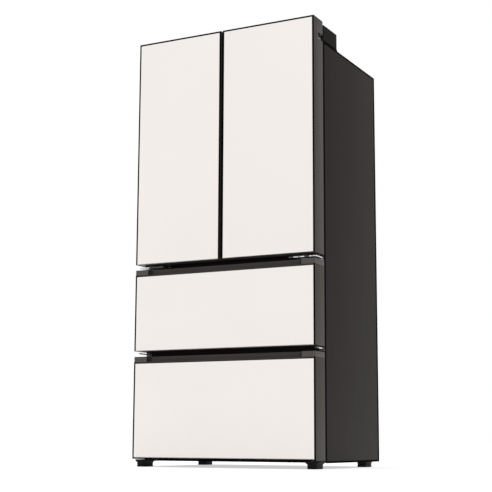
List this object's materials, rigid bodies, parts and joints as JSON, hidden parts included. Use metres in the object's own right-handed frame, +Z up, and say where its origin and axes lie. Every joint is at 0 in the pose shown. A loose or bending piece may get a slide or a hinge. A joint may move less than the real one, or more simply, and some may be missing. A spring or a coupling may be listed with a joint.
{
  "type": "french door refrigerator",
  "caption": "Tall refrigerator with a pair of hinged upper doors over two full-width pull-out drawers with recessed finger grips, on low levelling feet.",
  "frame": {"origin": "on the floor under the middle of the appliance's bounding box", "axes": "+Z up, +Y from the doors to the back, +X to the right of someone facing the doors"},
  "size_m": [0.833, 0.665, 1.818],
  "materials": {
    "panel_paint": "satin",
    "frame_paint": "satin",
    "cabinet_paint": "satin",
    "grip_plastic": "matte",
    "cover_plastic": "matte",
    "foot_plastic": "matte",
    "liner_plastic": "satin",
    "foam": "matte",
    "gasket_rubber": "matte",
    "clear_plastic": "gloss",
    "shelf_glass": "gloss",
    "trim_plastic": "satin",
    "zinc_steel": "satin",
    "black_enamel": "satin",
    "coil_aluminium": "satin",
    "fan_plastic": "matte",
    "light_lens": "satin"
  },
  "bodies": {
    "cabinet": {"side_panel_left": "cabinet_paint", "side_panel_right": "cabinet_paint", "roof_panel": "cabinet_paint", "back_panel": "cabinet_paint", "base_pan": "cabinet_paint", "front_face": "cabinet_paint", "cabinet_insulation": "foam", "fridge_liner": "liner_plastic", "middle_liner": "liner_plastic", "freezer_liner": "liner_plastic", "hinge_covers": "cover_plastic", "top_hinges": "black_enamel", "middle_hinges": "zinc_steel", "beam_brackets": "zinc_steel", "levelling_feet": "foot_plastic", "machine_cover": "cover_plastic", "compressor": "black_enamel", "condenser_coil": "black_enamel", "drain_pan": "cover_plastic", "fridge_duct": "liner_plastic", "freezer_duct": "liner_plastic", "evaporator_coil": "coil_aluminium", "ceiling_light": "light_lens", "shelf_glass": "shelf_glass", "shelf_trim": "trim_plastic", "shelf_tracks": "zinc_steel", "slide_rails": "zinc_steel"},
    "left_door": {"left_door_panel": "panel_paint", "left_door_frame": "frame_paint", "left_door_insulation": "foam", "left_door_liner": "liner_plastic", "left_door_gasket": "gasket_rubber", "left_door_bins": "clear_plastic"},
    "mullion": {"flip_mullion": "trim_plastic"},
    "right_door": {"right_door_panel": "panel_paint", "right_door_frame": "frame_paint", "right_door_insulation": "foam", "right_door_liner": "liner_plastic", "right_door_gasket": "gasket_rubber", "right_door_bins": "clear_plastic"},
    "dairy_flap": {"dairy_lid": "clear_plastic"},
    "middle_drawer": {"middle_drawer_panel": "panel_paint", "middle_drawer_frame": "frame_paint", "middle_drawer_grip": "grip_plastic", "middle_drawer_inner": "liner_plastic", "middle_drawer_gasket": "gasket_rubber", "middle_drawer_box": "clear_plastic"},
    "bottom_drawer": {"bottom_drawer_panel": "panel_paint", "bottom_drawer_frame": "frame_paint", "bottom_drawer_grip": "grip_plastic", "bottom_drawer_inner": "liner_plastic", "bottom_drawer_gasket": "gasket_rubber", "freezer_basket": "liner_plastic"},
    "tray": {"freezer_tray": "clear_plastic"},
    "left_crisper_drawer": {"crisper_left": "clear_plastic"},
    "right_crisper_drawer": {"crisper_right": "clear_plastic"},
    "middle_slide_pair": {"middle_slides": "zinc_steel"},
    "bottom_slide_pair": {"bottom_slides": "zinc_steel"},
    "condenser_fan_wheel": {"condenser_fan": "fan_plastic"},
    "evaporator_fan_wheel": {"evaporator_fan": "fan_plastic"}
  },
  "joints": [
    {"name": "left_door_hinge", "type": "hinge", "parent": "cabinet", "child": "left_door", "pos_m": [-0.3985, -0.2685, 0.842], "axis": [0, 0, -1], "range_deg": [0, 110]},
    {"name": "mullion_hinge", "type": "hinge", "parent": "left_door", "child": "mullion", "pos_m": [-0.052, -0.2245, 0.8775], "axis": [0, 0, 1], "range_deg": [0, 90]},
    {"name": "right_door_hinge", "type": "hinge", "parent": "cabinet", "child": "right_door", "pos_m": [0.3985, -0.2685, 0.842], "axis": [0, 0, 1], "range_deg": [0, 110]},
    {"name": "dairy_lid_hinge", "type": "hinge", "parent": "right_door", "child": "dairy_flap", "pos_m": [0.20875, -0.2345, 1.4755], "axis": [1, 0, 0], "range_deg": [0, 70]},
    {"name": "middle_drawer_slide", "type": "slide", "parent": "cabinet", "child": "middle_drawer", "axis": [0, -1, 0], "range_m": [0, 0.4]},
    {"name": "middle_slide_extend", "type": "slide", "parent": "cabinet", "child": "middle_slide_pair", "axis": [0, -1, 0], "range_m": [0, 0.2]},
    {"name": "bottom_drawer_slide", "type": "slide", "parent": "cabinet", "child": "bottom_drawer", "axis": [0, -1, 0], "range_m": [0, 0.38]},
    {"name": "bottom_slide_extend", "type": "slide", "parent": "cabinet", "child": "bottom_slide_pair", "axis": [0, -1, 0], "range_m": [0, 0.19]},
    {"name": "freezer_tray_slide", "type": "slide", "parent": "bottom_drawer", "child": "tray", "axis": [0, -1, 0], "range_m": [0, 0.078]},
    {"name": "left_crisper_slide", "type": "slide", "parent": "cabinet", "child": "left_crisper_drawer", "axis": [0, -1, 0], "range_m": [0, 0.06]},
    {"name": "right_crisper_slide", "type": "slide", "parent": "cabinet", "child": "right_crisper_drawer", "axis": [0, -1, 0], "range_m": [0, 0.06]},
    {"name": "condenser_fan_spin", "type": "hinge", "parent": "cabinet", "child": "condenser_fan_wheel", "pos_m": [-0.03, 0.2325, 0.14], "axis": [1, 0, 0], "continuous": true},
    {"name": "evaporator_fan_spin", "type": "hinge", "parent": "cabinet", "child": "evaporator_fan_wheel", "pos_m": [0.25, 0.2505, 0.362], "axis": [0, 1, 0], "continuous": true}
  ],
  "couplings": [
    {"joint": "middle_slide_extend", "follows": "middle_drawer_slide", "ratio": 0.5},
    {"joint": "bottom_slide_extend", "follows": "bottom_drawer_slide", "ratio": 0.5}
  ]
}
